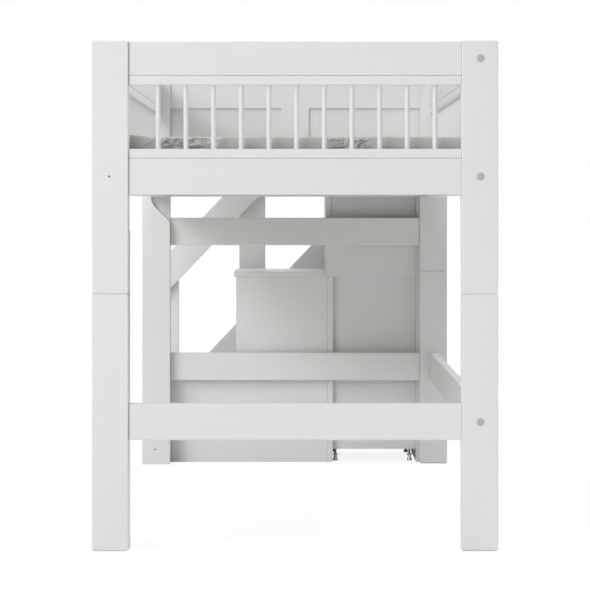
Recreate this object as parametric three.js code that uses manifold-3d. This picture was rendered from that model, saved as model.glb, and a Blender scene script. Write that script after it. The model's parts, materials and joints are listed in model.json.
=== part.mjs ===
// Mid sleeper bed with storage stairs beyond its head end, all in white lacquered wood and board.
// Millimetres, +Z up. +X runs across the bed, +Y along it from the foot end to the stairs.
import * as THREE from 'three';
import { mergeVertices } from 'three/addons/utils/BufferGeometryUtils.js';
import Module from 'manifold-3d';

const wasm = await Module();
wasm.setup();

// Gap left wherever one piece rests on another
const SEAT = 0.3;

// Bed frame
const BED_WIDTH = 1020;
const BED_LENGTH = 2070;
const POST_WIDTH = 92;
const POST_DEPTH = 44;
const POST_TOP = 1283;
const LEG_HEIGHT = 645;
const EDGE_ROUND = 3;
const BOARD_HEIGHT = 92;
const BOARD_THICKNESS = 28;
const END_BOARD_SETBACK = 6;
const SIDE_BOARD_SETBACK = 30;
const TOP_BOARD_HEIGHT = 86;
const TOP_BOARD_DROP = 3.5;
const SIDE_BOARD_BOTTOM = 894;
const LOW_RAIL_BOTTOM = 278;
const STAIR_RAIL_BOTTOM = 731;

// Barred guards
const STRIP_HEIGHT = 23;
const STRIP_THICKNESS = 28;
const BAR_DIAMETER = 12;
const BAR_SIDES = 10;
const BAR_SOCKET = 9;
const END_BARS = 11;
const END_BAR_SHIFT = 4;
const SIDE_BARS = 27;

// Closed gable at the head end
const GABLE_STILE = 92;
const GABLE_LOW_RAIL = 74;
const GABLE_TOP_RAIL = 90.5;
const GABLE_PANEL = 12;
const GABLE_GROOVE = 8;

// Shaped braces of the open long side
const BRACE_THICKNESS = 28;
const BRACE_SHOULDER = 799;
const BRACE_OUTER_CURVE = 25;
const BRACE_INNER_CURVE = 50;

// Bolt holes of the right side, and small holes on the left
const BOLT_BORE = 8.6;
const BOLT_REACH = 95;
const BOLT_POCKET = 19.6;
const BOLT_POCKET_DEPTH = 3.3;
const BOLT_SIDES = 24;
const PILOT_HOLE = 5;
const PILOT_DEPTH = 20;
const PILOT_SIDES = 12;
const BRACE_HOLE_INSET = 43;
const BRACE_HOLE_HEIGHT = 50;

// Mattress and its base
const BATTEN_WIDTH = 25;
const BATTEN_HEIGHT = 22;
const BATTEN_INSET = 53;
const SLAT_COUNT = 14;
const SLAT_WIDTH = 70;
const SLAT_THICKNESS = 18;
const SLAT_PLAY = 6;
const STRAP_WIDTH = 20;
const STRAP_THICKNESS = 2;
const STRAP_OFFSET = 300;
const MATTRESS_HEIGHT = 108;
const MATTRESS_SIDE_PLAY = 2;
const MATTRESS_END_PLAY = 1;
const MATTRESS_ROUND = 24;
const MATTRESS_CROWN = 8;
const MATTRESS_TUCK = 3;

// Stairs
const STAIR_DEPTH = 370;
const STAIR_LEFT_INSET = 9.5;
const STAIR_RIGHT_INSET = 82;
const STEP_RUN = 302;
const STEP_RISE = 315.5;
const FIRST_TREAD_TOP = 326;
const TREAD_THICKNESS = 18;
const TREAD_NOSE = 7.5;
const TREAD_OVERHANG = 5;
const SIDE_PANEL = 16;
const MIDDLE_WALL = 18;
const MIDDLE_WALL_SETBACK = 6;
const RIGHT_WALL = 20;
const CUPBOARD_LIFT = 41.4;
const CUPBOARD_BOTTOM = 18;
const CROSS_BOARD_HEIGHT = 107.5;
const BACK_SETBACK = 24;
const BACK_THICKNESS = 12;
const BASE_SHELF_LIFT = 20;
const BASE_SHELF = 16;

// Drawers
const FRONT_THICKNESS = 18;
const FRONT_REVEAL = 1.7;
const FRONT_TOP_REVEAL = 3;
const FRONT_FLOOR_GAP = 6;
const NOTCH_LENGTH = 120;
const NOTCH_DEPTH = 26;
const NOTCH_ROUND = 12;
const BOX_WALL = 12;
const BOX_BOTTOM = 8;
const BOX_PLAY = 3;
const BOX_HEADROOM = 36;
const BOX_BACK_GAP = 9;

// Levelling feet
const FOOT_STEM = 8;
const FOOT_DISC = 18;
const FOOT_DISC_HEIGHT = 4;
const FOOT_DISC_LIFT = 19;
const FOOT_PAD = 17;
const FOOT_PAD_HEIGHT = 3;
const FOOT_SIDES = 16;
const FOOT_LEFT_INSET = 9.5;
const FOOT_RIGHT_INSET = 20;
const FOOT_NEAR_INSET = 53.5;
const FOOT_FAR_INSET = 45;

// Railing of the stairs
const RAIL_WIDTH = 92;
const RAIL_THICKNESS = 28;
const KICK_HEIGHT = 130;
const HANDRAIL_HEIGHT = 629;
const HANDRAIL_LEVEL_END = 83;
const RAIL_REACH = 91.5;
const LOW_UPRIGHT_OUTSET = 3;
const HIGH_UPRIGHT_INSET = 1.5;
const UPRIGHT_DROP = 6;
const LANDING_ROUND = 40;

// Sizes that follow from the ones above
const HALF_WIDTH = BED_WIDTH / 2;
const POST_INNER = HALF_WIDTH - POST_WIDTH;
const HEAD_FACE = BED_LENGTH - POST_DEPTH;
const SIDE_OUTER = HALF_WIDTH - SIDE_BOARD_SETBACK;
const SIDE_INNER = SIDE_OUTER - BOARD_THICKNESS;
const SIDE_TOP = SIDE_BOARD_BOTTOM + BOARD_HEIGHT;
const TOP_BOARD_TOP = POST_TOP - TOP_BOARD_DROP;
const TOP_BOARD_BOTTOM = TOP_BOARD_TOP - TOP_BOARD_HEIGHT;
const BOLT_X = SIDE_INNER + BOARD_THICKNESS / 2;
const LOW_BOLT = LOW_RAIL_BOTTOM + BOARD_HEIGHT / 2;
const SIDE_BOLT = SIDE_BOARD_BOTTOM + BOARD_HEIGHT / 2;
const TOP_BOLT = TOP_BOARD_BOTTOM + TOP_BOARD_HEIGHT / 2;
const HEAD_BOARD_FAR = BED_LENGTH - END_BOARD_SETBACK;
const HEAD_BOARD_NEAR = HEAD_BOARD_FAR - BOARD_THICKNESS;
const SLATS_BOTTOM = SIDE_BOARD_BOTTOM + BATTEN_HEIGHT + SEAT;
const SLATS_TOP = SLATS_BOTTOM + SLAT_THICKNESS;
const MATTRESS_BOTTOM = SLATS_TOP + STRAP_THICKNESS + SEAT;
const FIRST_RISER = STAIR_LEFT_INSET - HALF_WIDTH;
const SECOND_RISER = FIRST_RISER + STEP_RUN;
const THIRD_RISER = SECOND_RISER + STEP_RUN;
const SECOND_TREAD_TOP = FIRST_TREAD_TOP + STEP_RISE;
const THIRD_TREAD_TOP = SECOND_TREAD_TOP + STEP_RISE;
const LOW_SIDE_TOP = FIRST_TREAD_TOP - TREAD_THICKNESS - SEAT;
const HIGH_SIDE_TOP = SECOND_TREAD_TOP - TREAD_THICKNESS - SEAT;
const WALL_TOP = THIRD_TREAD_TOP - TREAD_THICKNESS - SEAT;
const TREAD_NEAR = BED_LENGTH + SEAT;
const STAIR_NEAR = TREAD_NEAR + TREAD_OVERHANG;
const STAIR_FAR = STAIR_NEAR + STAIR_DEPTH;
const INSIDE_NEAR = STAIR_NEAR + SIDE_PANEL + SEAT;
const INSIDE_FAR = STAIR_FAR - SIDE_PANEL - SEAT;
const MIDDLE_LEFT = THIRD_RISER + MIDDLE_WALL_SETBACK;
const CUPBOARD_LEFT = MIDDLE_LEFT + MIDDLE_WALL;
const STAIR_RIGHT = HALF_WIDTH - STAIR_RIGHT_INSET;
const CUPBOARD_RIGHT = STAIR_RIGHT - RIGHT_WALL;
const BACK_NEAR = STAIR_NEAR + BACK_SETBACK;
const BACK_FAR = BACK_NEAR + BACK_THICKNESS;
const RAIL_NEAR = STAIR_FAR + SEAT;
const RAIL_FAR = RAIL_NEAR + RAIL_THICKNESS;
const UPRIGHT_NEAR = RAIL_FAR + SEAT;
const UPRIGHT_FAR = UPRIGHT_NEAR + POST_DEPTH;
const RAIL_SLOPE = STEP_RISE / STEP_RUN;
const RAIL_UPRIGHT_WIDTH = RAIL_WIDTH * Math.hypot(1, RAIL_SLOPE);

const FRAME_WHITE = new THREE.MeshStandardMaterial({ name: 'frame_white', color: '#e4e4e2', roughness: 0.45 });
const PANEL_WHITE = new THREE.MeshStandardMaterial({ name: 'panel_white', color: '#dededb', roughness: 0.5 });
const RAW_PINE = new THREE.MeshStandardMaterial({ name: 'raw_pine', color: '#d9bf94', roughness: 0.7 });
const TICKING = new THREE.MeshStandardMaterial({ name: 'ticking', color: '#a6a6a2', roughness: 0.95 });
const STEEL = new THREE.MeshStandardMaterial({
  name: 'steel', color: '#8c8c8c', roughness: 0.35, metalness: 0.9,
});

const bed = new THREE.Group();

function place(name, geometry, material) {
  const mesh = new THREE.Mesh(geometry, material);
  mesh.name = name;
  bed.add(mesh);
}

// Solids and their joining
function toSolid(geometry) {
  const bare = geometry.clone();
  bare.deleteAttribute('normal');
  bare.deleteAttribute('uv');
  const merged = mergeVertices(bare, 1e-4);
  return new wasm.Manifold(new wasm.Mesh({
    numProp: 3,
    vertProperties: new Float32Array(merged.attributes.position.array),
    triVerts: new Uint32Array(merged.index.array),
  }));
}

function toGeometry(solid) {
  const mesh = solid.getMesh();
  const geometry = new THREE.BufferGeometry();
  geometry.setAttribute('position', new THREE.BufferAttribute(new Float32Array(mesh.vertProperties), 3));
  geometry.setIndex(new THREE.BufferAttribute(new Uint32Array(mesh.triVerts), 1));
  geometry.computeVertexNormals();
  return geometry;
}

function joined(geometries) {
  return toGeometry(geometries.map(toSolid).reduce((whole, piece) => whole.add(piece)));
}

function cut(geometry, tools) {
  return toGeometry(tools.map(toSolid).reduce((whole, tool) => whole.subtract(tool), toSolid(geometry)));
}

// A plain block between two corners
function block(low, high) {
  const size = high.map((value, axis) => value - low[axis]);
  const geometry = new THREE.BoxGeometry(...size);
  geometry.translate(...low.map((value, axis) => value + size[axis] / 2));
  return geometry;
}

function roundedOutline(width, height, radius) {
  const shape = new THREE.Shape();
  const right = width / 2 - radius;
  const up = height / 2 - radius;
  shape.absarc(right, up, radius, 0, Math.PI / 2);
  shape.absarc(-right, up, radius, Math.PI / 2, Math.PI);
  shape.absarc(-right, -up, radius, Math.PI, 1.5 * Math.PI);
  shape.absarc(right, -up, radius, 1.5 * Math.PI, 2 * Math.PI);
  return shape;
}

function unitAxis(axis) {
  return new THREE.Vector3().setComponent(axis, 1);
}

// A planed board between two corners, its four long edges rounded
function board(low, high, radius = EDGE_ROUND) {
  const size = high.map((value, axis) => value - low[axis]);
  const long = size.indexOf(Math.max(...size));
  const across = (long + 1) % size.length;
  const upward = (long + 2) % size.length;
  const outline = roundedOutline(size[across], size[upward], radius);
  const geometry = new THREE.ExtrudeGeometry(outline, {
    depth: size[long], bevelEnabled: false, curveSegments: 2,
  });
  geometry.translate(0, 0, -size[long] / 2);
  const turn = new THREE.Matrix4().makeBasis(unitAxis(across), unitAxis(upward), unitAxis(long));
  geometry.applyMatrix4(turn);
  geometry.translate(...low.map((value, axis) => value + size[axis] / 2));
  return geometry;
}

function polygon(points) {
  return new THREE.Shape(points.map(([x, y]) => new THREE.Vector2(x, y)));
}

// An outline drawn in X and Z, given a thickness along Y from near to far
function uprightPanel(outline, near, far) {
  const geometry = new THREE.ExtrudeGeometry(outline, {
    depth: far - near, bevelEnabled: false, curveSegments: 6,
  });
  geometry.rotateX(Math.PI / 2);
  geometry.translate(0, far, 0);
  return geometry;
}

// An outline drawn in X and Y, given a thickness along Z
function flatPanel(outline, bottom, top) {
  const geometry = new THREE.ExtrudeGeometry(outline, { depth: top - bottom, bevelEnabled: false });
  geometry.translate(0, 0, bottom);
  return geometry;
}

// A round form on a bolt's axis, between two depths from an end of the bed
function boltForm(end, height, diameter, start, stop) {
  const form = new THREE.CylinderGeometry(diameter / 2, diameter / 2, stop - start, BOLT_SIDES);
  const middle = (start + stop) / 2;
  form.translate(BOLT_X, end === 'foot' ? middle : BED_LENGTH - middle, height);
  return form;
}

// Bores the way of each bolt through a post or into a board, with a pocket for its head
function bored(geometry, ends, heights) {
  return cut(geometry, ends.flatMap((end) => heights.flatMap((height) => [
    boltForm(end, height, BOLT_POCKET, -SEAT, BOLT_POCKET_DEPTH),
    boltForm(end, height, BOLT_BORE, 0, BOLT_REACH),
  ])));
}

// A small blind hole in a near face
function pilotHole(x, near, height) {
  const hole = new THREE.CylinderGeometry(PILOT_HOLE / 2, PILOT_HOLE / 2, 2 * PILOT_DEPTH, PILOT_SIDES);
  hole.translate(x, near, height);
  return hole;
}

// Corner posts stand on legs of their own
function addCorner(end, side, near) {
  const left = side === 'left' ? -HALF_WIDTH : POST_INNER;
  const right = left + POST_WIDTH;
  const far = near + POST_DEPTH;
  let leg = board([left, near, 0], [right, far, LEG_HEIGHT]);
  let post = board([left, near, LEG_HEIGHT + SEAT], [right, far, POST_TOP]);
  if (side === 'right') {
    leg = bored(leg, [end], [LOW_BOLT]);
    post = bored(post, [end], [SIDE_BOLT, TOP_BOLT]);
  } else if (end === 'foot') {
    post = cut(post, [pilotHole(-BOLT_X, near, SIDE_BOLT)]);
  }
  place(`${end}_${side}_leg`, leg, FRAME_WHITE);
  place(`${end}_${side}_post`, post, FRAME_WHITE);
}

// A board between the two posts of one end
function endBoard(near, bottom, height) {
  const reach = POST_INNER - SEAT;
  return board([-reach, near, bottom], [reach, near + BOARD_THICKNESS, bottom + height]);
}

// A board from the foot posts to the head posts
function sideBoard(side, bottom, height) {
  const left = side === 'left' ? -SIDE_OUTER : SIDE_INNER;
  const start = POST_DEPTH + SEAT;
  const stop = HEAD_FACE - SEAT;
  const plain = board([left, start, bottom], [left + BOARD_THICKNESS, stop, bottom + height]);
  return side === 'left' ? plain : bored(plain, ['foot', 'head'], [bottom + height / 2]);
}

// Round bars glued into a low and a high strip, drawn along X about the origin
function barredGuard(length, bars, shift) {
  const half = length / 2;
  const thick = STRIP_THICKNESS / 2;
  const lowBottom = SIDE_TOP + SEAT;
  const lowTop = lowBottom + STRIP_HEIGHT;
  const highTop = TOP_BOARD_BOTTOM - SEAT;
  const highBottom = highTop - STRIP_HEIGHT;
  const strips = [
    board([-half, -thick, lowBottom], [half, thick, lowTop], EDGE_ROUND / 2),
    board([-half, -thick, highBottom], [half, thick, highTop], EDGE_ROUND / 2),
  ];
  const barBottom = lowTop - BAR_SOCKET;
  const barTop = highBottom + BAR_SOCKET;
  const pitch = length / (bars + 1);
  const rods = Array.from({ length: bars }, (_, index) => {
    const radius = BAR_DIAMETER / 2;
    const bar = new THREE.CylinderGeometry(radius, radius, barTop - barBottom, BAR_SIDES);
    bar.rotateX(Math.PI / 2);
    bar.translate(-half + pitch * (index + 1) + shift, 0, (barBottom + barTop) / 2);
    return bar;
  });
  return joined([...strips, ...rods]);
}

function addFootEnd() {
  const near = END_BOARD_SETBACK;
  place('foot_top_board', endBoard(near, TOP_BOARD_BOTTOM, TOP_BOARD_HEIGHT), FRAME_WHITE);
  place('foot_end_board', endBoard(near, SIDE_BOARD_BOTTOM, BOARD_HEIGHT), FRAME_WHITE);
  place('foot_low_rail', endBoard(near, LOW_RAIL_BOTTOM, BOARD_HEIGHT), FRAME_WHITE);
  const guard = barredGuard(2 * (POST_INNER - SEAT), END_BARS, END_BAR_SHIFT);
  guard.translate(0, near + STRIP_THICKNESS / 2, 0);
  place('foot_guard', guard, FRAME_WHITE);
}

function addLongSide(side) {
  const centre = SIDE_OUTER - STRIP_THICKNESS / 2;
  place(`${side}_top_board`, sideBoard(side, TOP_BOARD_BOTTOM, TOP_BOARD_HEIGHT), FRAME_WHITE);
  place(`${side}_side_board`, sideBoard(side, SIDE_BOARD_BOTTOM, BOARD_HEIGHT), FRAME_WHITE);
  const guard = barredGuard(HEAD_FACE - POST_DEPTH - 2 * SEAT, SIDE_BARS, 0);
  guard.rotateZ(Math.PI / 2);
  guard.translate(side === 'left' ? -centre : centre, BED_LENGTH / 2, 0);
  place(`${side}_guard`, guard, FRAME_WHITE);
}

// The brace is as wide as the post below and narrows to pass outside the side board
function braceOutline() {
  const outer = -HALF_WIDTH;
  const inner = -POST_INNER;
  const neck = -SIDE_OUTER - SEAT;
  const lean = Math.PI / 4;
  const bulge = (BRACE_OUTER_CURVE + BRACE_INNER_CURVE) * (1 - Math.cos(lean));
  const slant = inner - neck - bulge;
  const curved = (BRACE_OUTER_CURVE + BRACE_INNER_CURVE) * Math.sin(lean);
  const neckStart = BRACE_SHOULDER + curved + slant;
  const shape = new THREE.Shape();
  shape.moveTo(outer, 0);
  shape.lineTo(inner, 0);
  shape.absarc(inner - BRACE_OUTER_CURVE, BRACE_SHOULDER, BRACE_OUTER_CURVE, 0, lean);
  shape.absarc(neck + BRACE_INNER_CURVE, neckStart, BRACE_INNER_CURVE, Math.PI + lean, Math.PI, true);
  shape.lineTo(neck, SIDE_TOP);
  shape.lineTo(outer, SIDE_TOP);
  shape.closePath();
  return shape;
}

function addBraces() {
  const start = POST_DEPTH + SEAT;
  const stop = HEAD_FACE - SEAT;
  const outline = braceOutline();
  const near = stop - BRACE_THICKNESS;
  const hole = pilotHole(BRACE_HOLE_INSET - HALF_WIDTH, near, BRACE_HOLE_HEIGHT);
  place('foot_left_brace', uprightPanel(outline, start, start + BRACE_THICKNESS), FRAME_WHITE);
  place('head_left_brace', cut(uprightPanel(outline, near, stop), [hole]), FRAME_WHITE);
}

// Two thin panels sit in grooves of a frame made of two rails and a middle stile
function addGable() {
  const near = HEAD_BOARD_NEAR;
  const reach = POST_INNER - SEAT;
  const half = GABLE_STILE / 2;
  const bottom = SIDE_TOP + SEAT;
  const fieldBottom = bottom + GABLE_LOW_RAIL;
  const fieldTop = TOP_BOARD_TOP - GABLE_TOP_RAIL;
  const frame = joined([
    board([-reach, near, fieldTop], [reach, HEAD_BOARD_FAR, TOP_BOARD_TOP]),
    board([-reach, near, bottom], [reach, HEAD_BOARD_FAR, fieldBottom]),
    block([-half, near, fieldBottom - EDGE_ROUND], [half, HEAD_BOARD_FAR, fieldTop + EDGE_ROUND]),
  ]);
  const panelNear = near + GABLE_GROOVE;
  const panelFar = panelNear + GABLE_PANEL;
  const panelInner = half - GABLE_GROOVE;
  const low = fieldBottom - GABLE_GROOVE;
  const high = fieldTop + GABLE_GROOVE;
  const grooves = [[-reach - SEAT, SEAT - panelInner], [panelInner - SEAT, reach + SEAT]].map(
    ([left, right]) => block([left, panelNear - SEAT, low - SEAT], [right, panelFar + SEAT, high + SEAT]),
  );
  place('head_gable_frame', cut(frame, grooves), FRAME_WHITE);
  const leftPanel = block([-reach, panelNear, low], [-panelInner, panelFar, high]);
  const rightPanel = block([panelInner, panelNear, low], [reach, panelFar, high]);
  place('head_left_panel', leftPanel, PANEL_WHITE);
  place('head_right_panel', rightPanel, PANEL_WHITE);
}

function addHeadEnd() {
  const near = HEAD_BOARD_NEAR;
  addGable();
  place('head_end_board', endBoard(near, SIDE_BOARD_BOTTOM, BOARD_HEIGHT), FRAME_WHITE);
  place('head_stair_rail', endBoard(near, STAIR_RAIL_BOTTOM, BOARD_HEIGHT), FRAME_WHITE);
  place('head_low_rail', endBoard(near, LOW_RAIL_BOTTOM, BOARD_HEIGHT), FRAME_WHITE);
}

// Slats lie on a batten along each side board, held at an even pitch by two straps
function addSlattedBase() {
  const start = POST_DEPTH + BATTEN_INSET;
  const stop = BED_LENGTH - start;
  const outer = SIDE_INNER - SEAT;
  const inner = outer - BATTEN_WIDTH;
  const top = SIDE_BOARD_BOTTOM + BATTEN_HEIGHT;
  const left = board([-outer, start, SIDE_BOARD_BOTTOM], [-inner, stop, top]);
  const right = board([inner, start, SIDE_BOARD_BOTTOM], [outer, stop, top]);
  place('left_slat_batten', left, FRAME_WHITE);
  place('right_slat_batten', right, FRAME_WHITE);
  const half = SIDE_INNER - SLAT_PLAY;
  const pitch = (stop - start - SLAT_WIDTH) / (SLAT_COUNT - 1);
  const slats = Array.from({ length: SLAT_COUNT }, (_, index) => {
    const near = start + pitch * index;
    return board([-half, near, SLATS_BOTTOM], [half, near + SLAT_WIDTH, SLATS_TOP]);
  });
  const straps = [-STRAP_OFFSET, STRAP_OFFSET].map((centre) => block(
    [centre - STRAP_WIDTH / 2, start + STRAP_WIDTH, SLATS_TOP - STRAP_THICKNESS],
    [centre + STRAP_WIDTH / 2, stop - STRAP_WIDTH, SLATS_TOP + STRAP_THICKNESS],
  ));
  place('slatted_base', joined([...slats, ...straps]), RAW_PINE);
}

// A foam mattress: rounded edges, a slight crown and sides drawn in between the corners
function addMattress() {
  const half = [
    SIDE_INNER - MATTRESS_SIDE_PLAY,
    BED_LENGTH / 2 - POST_DEPTH - MATTRESS_END_PLAY,
    MATTRESS_HEIGHT / 2,
  ];
  const inset = half.map((value) => value - MATTRESS_ROUND);
  const geometry = new THREE.BoxGeometry(2, 2, 2, 12, 24, 6);
  const corners = geometry.attributes.position;
  for (let index = 0; index < corners.count; index += 1) {
    const grid = [corners.getX(index), corners.getY(index), corners.getZ(index)];
    const along = grid.map((value) => Math.sin(value * Math.PI / 2));
    const point = new THREE.Vector3(...along.map((value, axis) => value * half[axis]));
    const core = new THREE.Vector3(...point.toArray().map(
      (value, axis) => THREE.MathUtils.clamp(value, -inset[axis], inset[axis]),
    ));
    point.sub(core).clampLength(0, MATTRESS_ROUND).add(core);
    const fall = along[0] ** 2 + along[1] ** 2 - (along[0] * along[1]) ** 2;
    point.z -= MATTRESS_CROWN * fall * Math.max(along[2], 0);
    point.x -= MATTRESS_TUCK * along[0] ** 3 * (1 - along[1] ** 2);
    corners.setXYZ(index, point.x, point.y, point.z);
  }
  geometry.translate(0, BED_LENGTH / 2, MATTRESS_BOTTOM + half[2]);
  place('mattress', geometry, TICKING);
}

// The long sides of the two lower steps share one stepped outline
function stairSide(right) {
  return polygon([
    [FIRST_RISER, 0], [right, 0], [right, HIGH_SIDE_TOP],
    [SECOND_RISER, HIGH_SIDE_TOP], [SECOND_RISER, LOW_SIDE_TOP], [FIRST_RISER, LOW_SIDE_TOP],
  ]);
}

function addStairWalls() {
  const nearSide = uprightPanel(stairSide(MIDDLE_LEFT - SEAT), STAIR_NEAR, STAIR_NEAR + SIDE_PANEL);
  const outerSide = uprightPanel(stairSide(CUPBOARD_LEFT), STAIR_FAR - SIDE_PANEL, STAIR_FAR);
  place('stair_near_side', nearSide, PANEL_WHITE);
  place('stair_outer_side', outerSide, PANEL_WHITE);
  const middle = block([MIDDLE_LEFT, STAIR_NEAR, 0], [CUPBOARD_LEFT, INSIDE_FAR, HIGH_SIDE_TOP]);
  const right = block([CUPBOARD_RIGHT, STAIR_NEAR, 0], [STAIR_RIGHT, INSIDE_FAR, WALL_TOP]);
  place('stair_middle_wall', middle, PANEL_WHITE);
  place('stair_right_wall', right, PANEL_WHITE);
  const shelfLeft = FIRST_RISER + FRONT_THICKNESS + FRONT_REVEAL;
  const shelf = block(
    [shelfLeft, INSIDE_NEAR, BASE_SHELF_LIFT],
    [MIDDLE_LEFT - SEAT, INSIDE_FAR, BASE_SHELF_LIFT + BASE_SHELF],
  );
  place('stair_base_shelf', shelf, PANEL_WHITE);
}

// The part of a tread behind the next riser fits between the walls and carries a drawer
function steppedTread(riser, next, right) {
  const left = riser - TREAD_NOSE;
  const shoulder = next - SEAT;
  return polygon([
    [left, TREAD_NEAR], [shoulder, TREAD_NEAR], [shoulder, INSIDE_NEAR], [right, INSIDE_NEAR],
    [right, INSIDE_FAR], [shoulder, INSIDE_FAR], [shoulder, STAIR_FAR], [left, STAIR_FAR],
  ]);
}

function addTreads() {
  const first = steppedTread(FIRST_RISER, SECOND_RISER, MIDDLE_LEFT - SEAT);
  const second = steppedTread(SECOND_RISER, THIRD_RISER, CUPBOARD_RIGHT - SEAT);
  place('tread_1', flatPanel(first, FIRST_TREAD_TOP - TREAD_THICKNESS, FIRST_TREAD_TOP), PANEL_WHITE);
  place('tread_2', flatPanel(second, SECOND_TREAD_TOP - TREAD_THICKNESS, SECOND_TREAD_TOP), PANEL_WHITE);
  const third = block(
    [THIRD_RISER - TREAD_NOSE, TREAD_NEAR, THIRD_TREAD_TOP - TREAD_THICKNESS],
    [STAIR_RIGHT, INSIDE_FAR, THIRD_TREAD_TOP],
  );
  place('tread_3', third, PANEL_WHITE);
}

// The tall unit under the top step: a drawer above a cupboard that is open on its outer side
function addTallUnit() {
  const left = CUPBOARD_LEFT + SEAT;
  const right = CUPBOARD_RIGHT - SEAT;
  const crossBottom = SECOND_TREAD_TOP - TREAD_THICKNESS;
  const cross = block(
    [THIRD_RISER, STAIR_NEAR, crossBottom],
    [right, STAIR_NEAR + SIDE_PANEL, crossBottom + CROSS_BOARD_HEIGHT],
  );
  place('stair_cross_board', cross, PANEL_WHITE);
  const lower = block([left, BACK_NEAR, CUPBOARD_LIFT], [right, BACK_FAR, HIGH_SIDE_TOP]);
  place('stair_lower_back', lower, PANEL_WHITE);
  const upperLeft = THIRD_RISER + FRONT_THICKNESS + SEAT;
  const upper = block([upperLeft, BACK_NEAR, SECOND_TREAD_TOP + SEAT], [right, BACK_FAR, WALL_TOP]);
  place('stair_upper_back', upper, PANEL_WHITE);
  const bottom = block(
    [left, BACK_FAR + SEAT, CUPBOARD_LIFT],
    [right, INSIDE_FAR, CUPBOARD_LIFT + CUPBOARD_BOTTOM],
  );
  place('cupboard_bottom', bottom, PANEL_WHITE);
}

// A flared pad, a thumb disc and a threaded stem, turned in one
function addFeet() {
  const top = CUPBOARD_LIFT - SEAT;
  const stem = FOOT_STEM / 2;
  const discTop = FOOT_DISC_LIFT + FOOT_DISC_HEIGHT;
  const profile = [
    [0, 0], [FOOT_PAD / 2, 0], [FOOT_PAD / 2, FOOT_PAD_HEIGHT], [stem, FOOT_DISC_LIFT],
    [FOOT_DISC / 2, FOOT_DISC_LIFT], [FOOT_DISC / 2, discTop], [stem, discTop], [stem, top], [0, top],
  ].map(([radius, height]) => new THREE.Vector2(radius, height));
  const across = { left: CUPBOARD_LEFT + FOOT_LEFT_INSET, right: CUPBOARD_RIGHT - FOOT_RIGHT_INSET };
  const along = { near: STAIR_NEAR + FOOT_NEAR_INSET, far: STAIR_FAR - FOOT_FAR_INSET };
  for (const [side, x] of Object.entries(across)) {
    for (const [end, y] of Object.entries(along)) {
      const foot = new THREE.LatheGeometry(profile, FOOT_SIDES);
      foot.rotateX(Math.PI / 2);
      foot.translate(x, y, 0);
      place(`levelling_foot_${end}_${side}`, foot, STEEL);
    }
  }
}

// The outline of a drawer front in Y and Z, with a finger notch in its upper edge
function frontOutline(near, far, bottom, top) {
  const middle = (near + far) / 2;
  const left = middle - NOTCH_LENGTH / 2;
  const right = middle + NOTCH_LENGTH / 2;
  const low = top - NOTCH_DEPTH + NOTCH_ROUND;
  const shape = new THREE.Shape();
  shape.moveTo(near, bottom);
  shape.lineTo(far, bottom);
  shape.lineTo(far, top);
  shape.lineTo(right, top);
  shape.absarc(right - NOTCH_ROUND, low, NOTCH_ROUND, 0, -Math.PI / 2, true);
  shape.absarc(left + NOTCH_ROUND, low, NOTCH_ROUND, -Math.PI / 2, -Math.PI, true);
  shape.lineTo(left, top);
  shape.lineTo(near, top);
  shape.closePath();
  return shape;
}

// A drawer slides out of its riser towards the climber
function addDrawer(name, bay) {
  const outline = frontOutline(
    INSIDE_NEAR + FRONT_REVEAL, INSIDE_FAR - FRONT_REVEAL, bay.frontBottom, bay.top - FRONT_TOP_REVEAL,
  );
  const front = new THREE.ExtrudeGeometry(outline, {
    depth: FRONT_THICKNESS, bevelEnabled: false, curveSegments: 4,
  });
  const turn = new THREE.Matrix4().makeBasis(unitAxis(1), unitAxis(2), unitAxis(0));
  front.applyMatrix4(turn);
  front.translate(bay.riser, 0, 0);
  place(`${name}_front`, front, PANEL_WHITE);
  const low = [bay.riser + FRONT_THICKNESS + SEAT, bay.near + BOX_PLAY, bay.floor + SEAT];
  const high = [bay.back - BOX_BACK_GAP, INSIDE_FAR - BOX_PLAY, bay.top - BOX_HEADROOM];
  const hollow = block(
    [low[0] + BOX_WALL, low[1] + BOX_WALL, low[2] + BOX_BOTTOM],
    [high[0] - BOX_WALL, high[1] - BOX_WALL, high[2] + BOX_WALL],
  );
  place(`${name}_box`, cut(block(low, high), [hollow]), PANEL_WHITE);
}

function addDrawers() {
  addDrawer('drawer_1', {
    riser: FIRST_RISER,
    back: MIDDLE_LEFT,
    near: INSIDE_NEAR,
    floor: BASE_SHELF_LIFT + BASE_SHELF,
    frontBottom: FRONT_FLOOR_GAP,
    top: FIRST_TREAD_TOP - TREAD_THICKNESS,
  });
  addDrawer('drawer_2', {
    riser: SECOND_RISER,
    back: MIDDLE_LEFT,
    near: INSIDE_NEAR,
    floor: FIRST_TREAD_TOP,
    frontBottom: FIRST_TREAD_TOP + FRONT_REVEAL,
    top: SECOND_TREAD_TOP - TREAD_THICKNESS,
  });
  addDrawer('drawer_3', {
    riser: THIRD_RISER,
    back: CUPBOARD_RIGHT,
    near: BACK_FAR,
    floor: SECOND_TREAD_TOP,
    frontBottom: SECOND_TREAD_TOP + FRONT_REVEAL,
    top: THIRD_TREAD_TOP - TREAD_THICKNESS,
  });
}

// Height of a sloping rail's upper edge at a place across the stairs
function railTop(x, height) {
  return FIRST_TREAD_TOP + height + RAIL_SLOPE * (x - SECOND_RISER);
}

function addKickBoard() {
  const right = THIRD_RISER + RAIL_REACH;
  const outline = polygon([
    [FIRST_RISER, railTop(FIRST_RISER, KICK_HEIGHT) - RAIL_UPRIGHT_WIDTH],
    [right, railTop(right, KICK_HEIGHT) - RAIL_UPRIGHT_WIDTH],
    [right, railTop(right, KICK_HEIGHT)],
    [FIRST_RISER, railTop(FIRST_RISER, KICK_HEIGHT)],
  ]);
  place('kick_board', uprightPanel(outline, RAIL_NEAR, RAIL_FAR), FRAME_WHITE);
}

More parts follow.
